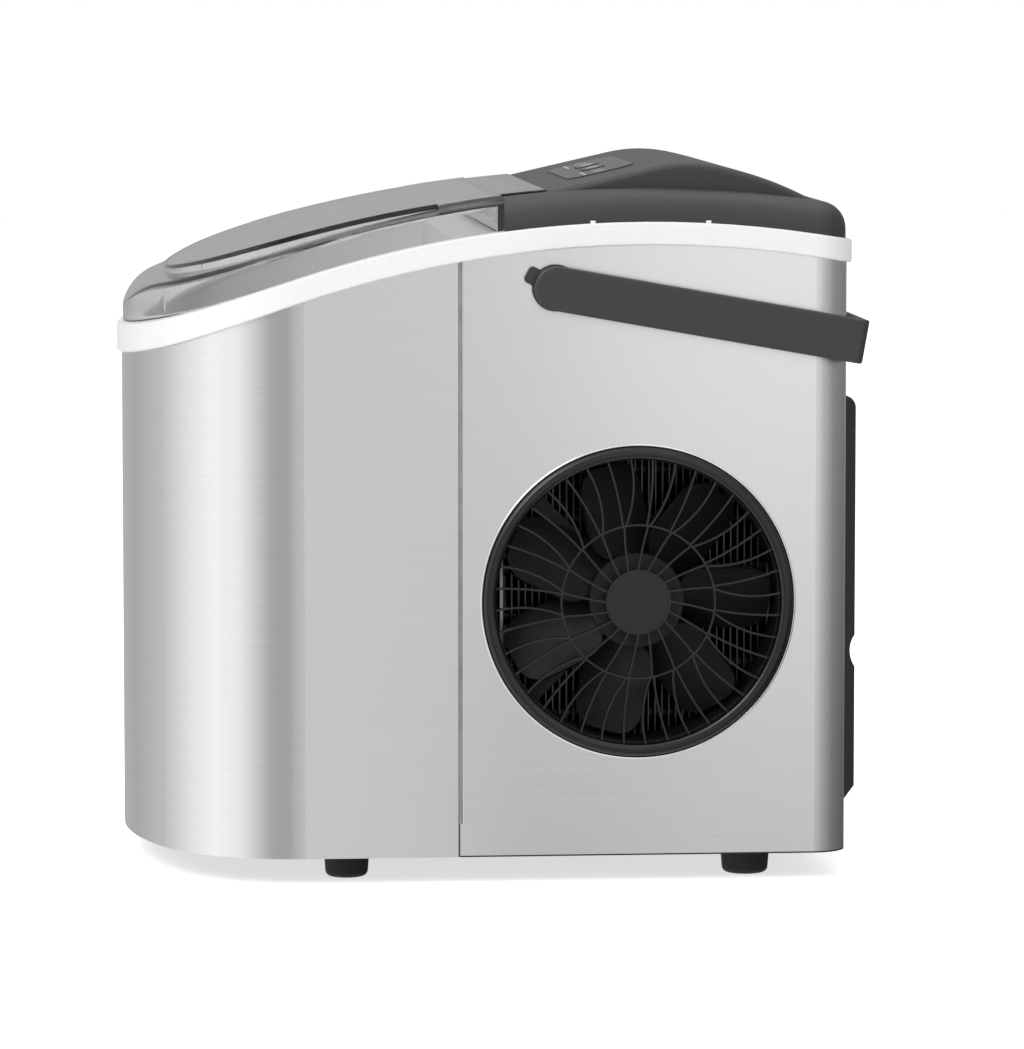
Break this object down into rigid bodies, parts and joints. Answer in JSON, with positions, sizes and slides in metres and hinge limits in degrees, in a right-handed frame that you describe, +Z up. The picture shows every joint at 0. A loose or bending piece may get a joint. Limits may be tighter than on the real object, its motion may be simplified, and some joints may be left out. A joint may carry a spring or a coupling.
{
  "type": "countertop ice maker",
  "caption": "Compact countertop ice maker: D-shaped steel casing, smoked hinged lid, carry handle, side fan grille, and the full ice making and cooling works inside.",
  "frame": {"origin": "middle of the footprint, on the surface the feet stand on", "axes": "+Z up, the rounded front faces -Y, +X is the side with the fan grille"},
  "size_m": [0.2372, 0.3012, 0.2892],
  "materials": {
    "steel": "horizontal brushed, satin",
    "white_plastic": "satin",
    "smoked_plastic": "polished, see-through",
    "grey_plastic": "fine grain",
    "black_plastic": "fine grain",
    "panel_film": "satin film",
    "button_plastic": "satin",
    "light_pipe": "clear, frosted",
    "rubber": "matte",
    "screw_steel": "zinc plated",
    "sheet_metal": "galvanised",
    "foam": "open foam",
    "bin_plastic": "satin",
    "basket_plastic": "frosted",
    "nickel": "nickel plated",
    "tray_plastic": "satin",
    "copper": "drawn copper",
    "fin_metal": "bright foil",
    "black_paint": "semi-gloss",
    "board": "lacquered",
    "hose": "silicone"
  },
  "bodies": {
    "casing": {"base_pan": "black_plastic", "rubber_feet": "rubber", "foot_screws": "screw_steel", "front_wrap": "steel", "side_panel_right": "steel", "side_panel_left": "steel", "rear_panel": "black_plastic", "rear_panel_screws": "screw_steel", "cord_gland": "rubber", "trim_ring": "white_plastic", "bulkhead": "sheet_metal", "inner_tub": "bin_plastic", "insulation_foam": "foam", "ice_basket": "basket_plastic", "drain_fitting": "bin_plastic", "drain_cap": "rubber", "lid_hinge_pins": "screw_steel", "top_cover": "grey_plastic", "cover_screws": "screw_steel", "control_panel": "panel_film", "indicator_lights": "light_pipe", "control_board": "board", "handle_bosses": "grey_plastic", "handle_pins": "screw_steel", "evaporator": "nickel", "evaporator_bracket": "bin_plastic", "tray_motor": "black_plastic", "tray_bearing": "bin_plastic", "water_pump": "black_plastic", "pump_hose": "hose", "water_level_float": "bin_plastic", "ice_sensors": "black_plastic", "compressor": "black_paint", "compressor_plate": "sheet_metal", "compressor_grommets": "rubber", "compressor_bolts": "screw_steel", "suction_line": "copper", "discharge_line": "copper", "condenser_tubes": "copper", "condenser_fins": "fin_metal", "condenser_brackets": "sheet_metal", "liquid_line": "copper", "filter_drier": "copper", "capillary_line": "copper", "fan_grille": "black_plastic", "fan_frame": "black_plastic", "fan_motor": "sheet_metal", "fan_screws": "screw_steel", "main_board": "board"},
    "lid": {"lid": "smoked_plastic"},
    "carry_handle": {"carry_handle": "grey_plastic"},
    "fan_rotor": {"fan_rotor": "black_plastic"},
    "power_button": {"power_button": "button_plastic"},
    "select_button": {"select_button": "button_plastic"},
    "water_tray": {"water_tray": "tray_plastic", "ice_shovel": "bin_plastic"}
  },
  "joints": [
    {"name": "lid_hinge", "type": "hinge", "parent": "casing", "child": "lid", "pos_m": [0, 0.01673, 0.27471], "axis": [-1, 0, 0], "range_deg": [0, 75]},
    {"name": "handle_swing", "type": "hinge", "parent": "casing", "child": "carry_handle", "pos_m": [0, 0.0224, 0.24], "axis": [1, 0, 0], "range_deg": [0, 100]},
    {"name": "fan_spin", "type": "hinge", "parent": "casing", "child": "fan_rotor", "pos_m": [0.095, 0.0559, 0.1135], "axis": [1, 0, 0], "continuous": true},
    {"name": "tray_tilt", "type": "hinge", "parent": "casing", "child": "water_tray", "pos_m": [0, -0.041, 0.196], "axis": [1, 0, 0], "range_deg": [0, 55]},
    {"name": "power_button_press", "type": "slide", "parent": "casing", "child": "power_button", "axis": [0, 0.2233, -0.9748], "range_m": [0, 0.001], "stiffness_N_per_m": 600, "springref_m": -0.0005},
    {"name": "select_button_press", "type": "slide", "parent": "casing", "child": "select_button", "axis": [0, 0.2233, -0.9748], "range_m": [0, 0.001], "stiffness_N_per_m": 600, "springref_m": -0.0005}
  ]
}
